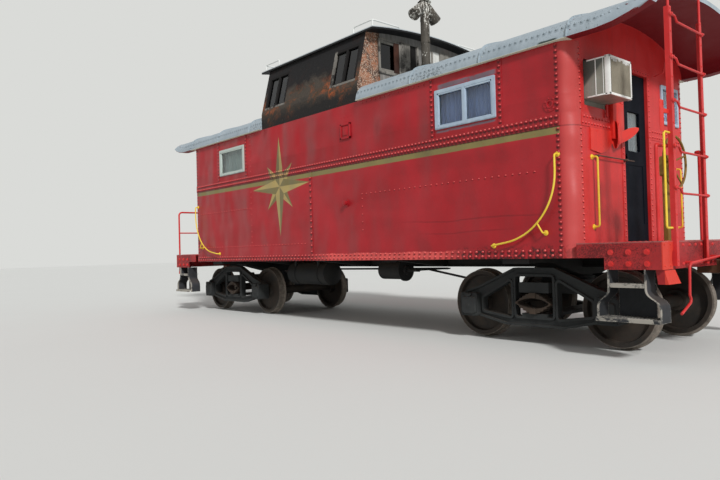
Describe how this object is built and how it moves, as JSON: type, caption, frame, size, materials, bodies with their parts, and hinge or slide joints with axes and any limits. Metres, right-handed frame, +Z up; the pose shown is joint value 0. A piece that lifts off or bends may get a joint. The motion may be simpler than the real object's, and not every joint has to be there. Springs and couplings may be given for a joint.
{
  "type": "caboose",
  "caption": "Riveted steel railway caboose with a burnt cupola, end platforms with steps and ladders, swivelling trucks, rolling wheelsets and end doors that open.",
  "frame": {"origin": "middle of the car at the lowest point of the wheel flanges", "axes": "+X along the car towards end a, +Z up, +Y across the car to the far side"},
  "size_m": [11.076, 3.022, 4.7418],
  "materials": {
    "brake_ochre": "weathered",
    "burnt_black": "burnt and rusty matte",
    "conditioner_white": "aged",
    "door_navy": "satin",
    "floor_wood": "worn",
    "frame_blue_white": "satin",
    "grab_yellow": "gloss",
    "jack_grey": "weathered galvanised",
    "pane": "clear",
    "red_end": "semi-gloss",
    "red_side": "weathered semi-gloss",
    "roof_silver": "weathered matte",
    "step_dark": "worn to bare edges",
    "truck_charcoal": "dusty cast",
    "underframe_black": "dusty matte",
    "weathered_wood": "weathered",
    "wheel_steel": "worn tread",
    "white_pipe": "satin"
  },
  "bodies": {
    "car": {"air_conditioner": "conditioner_white", "air_reservoir": "underframe_black", "brake_cylinder": "underframe_black", "brake_wheel_a": "brake_ochre", "brake_wheel_b": "brake_ochre", "coupler_a": "truck_charcoal", "coupler_b": "truck_charcoal", "cupola_frames": "weathered_wood", "cupola_rails": "white_pipe", "cupola_roof": "burnt_black", "cupola_walls": "burnt_black", "end_ladder_a": "red_end", "end_ladder_b": "red_end", "end_railing_a": "red_end", "end_railing_b": "red_end", "end_wall_a": "red_end", "end_wall_b": "red_end", "floor": "floor_wood", "grab_irons": "grab_yellow", "main_roof_a": "roof_silver", "main_roof_b": "roof_silver", "platform_a": "red_end", "platform_b": "red_end", "side_wall_far": "red_side", "side_wall_near": "red_side", "smoke_jack": "jack_grey", "steps_a": "step_dark", "steps_b": "step_dark", "uncoupling_levers": "red_end", "underframe": "underframe_black", "window_frames": "frame_blue_white", "window_glass": "pane"},
    "truck_a": {"springs_a": "truck_charcoal", "truck_bolster_a": "truck_charcoal", "truck_frame_a": "truck_charcoal"},
    "truck_b": {"springs_b": "truck_charcoal", "truck_bolster_b": "truck_charcoal", "truck_frame_b": "truck_charcoal"},
    "wheels_1": {"wheelset_1": "wheel_steel"},
    "wheels_2": {"wheelset_2": "wheel_steel"},
    "wheels_3": {"wheelset_3": "wheel_steel"},
    "wheels_4": {"wheelset_4": "wheel_steel"},
    "door_leaf_a": {"door_a": "door_navy", "door_glass_a": "pane"},
    "door_leaf_b": {"door_b": "door_navy", "door_glass_b": "pane"}
  },
  "joints": [
    {"name": "truck_a_swivel", "type": "hinge", "parent": "car", "child": "truck_a", "pos_m": [3.465, 0, 0.745], "axis": [0, 0, 1], "range_deg": [-5, 5]},
    {"name": "truck_b_swivel", "type": "hinge", "parent": "car", "child": "truck_b", "pos_m": [-3.465, 0, 0.745], "axis": [0, 0, 1], "range_deg": [-5, 5]},
    {"name": "wheels_1_roll", "type": "hinge", "parent": "truck_a", "child": "wheels_1", "pos_m": [4.38, 0, 0.444], "axis": [0, 1, 0], "continuous": true},
    {"name": "wheels_2_roll", "type": "hinge", "parent": "truck_a", "child": "wheels_2", "pos_m": [2.55, 0, 0.444], "axis": [0, 1, 0], "continuous": true},
    {"name": "wheels_3_roll", "type": "hinge", "parent": "truck_b", "child": "wheels_3", "pos_m": [-2.55, 0, 0.444], "axis": [0, 1, 0], "continuous": true},
    {"name": "wheels_4_roll", "type": "hinge", "parent": "truck_b", "child": "wheels_4", "pos_m": [-4.38, 0, 0.444], "axis": [0, 1, 0], "continuous": true},
    {"name": "door_a_swing", "type": "hinge", "parent": "car", "child": "door_leaf_a", "pos_m": [4.19, 0.31, 2.173], "axis": [0, 0, -1], "range_deg": [0, 90]},
    {"name": "door_b_swing", "type": "hinge", "parent": "car", "child": "door_leaf_b", "pos_m": [-4.19, -0.31, 2.173], "axis": [0, 0, -1], "range_deg": [0, 90]}
  ]
}
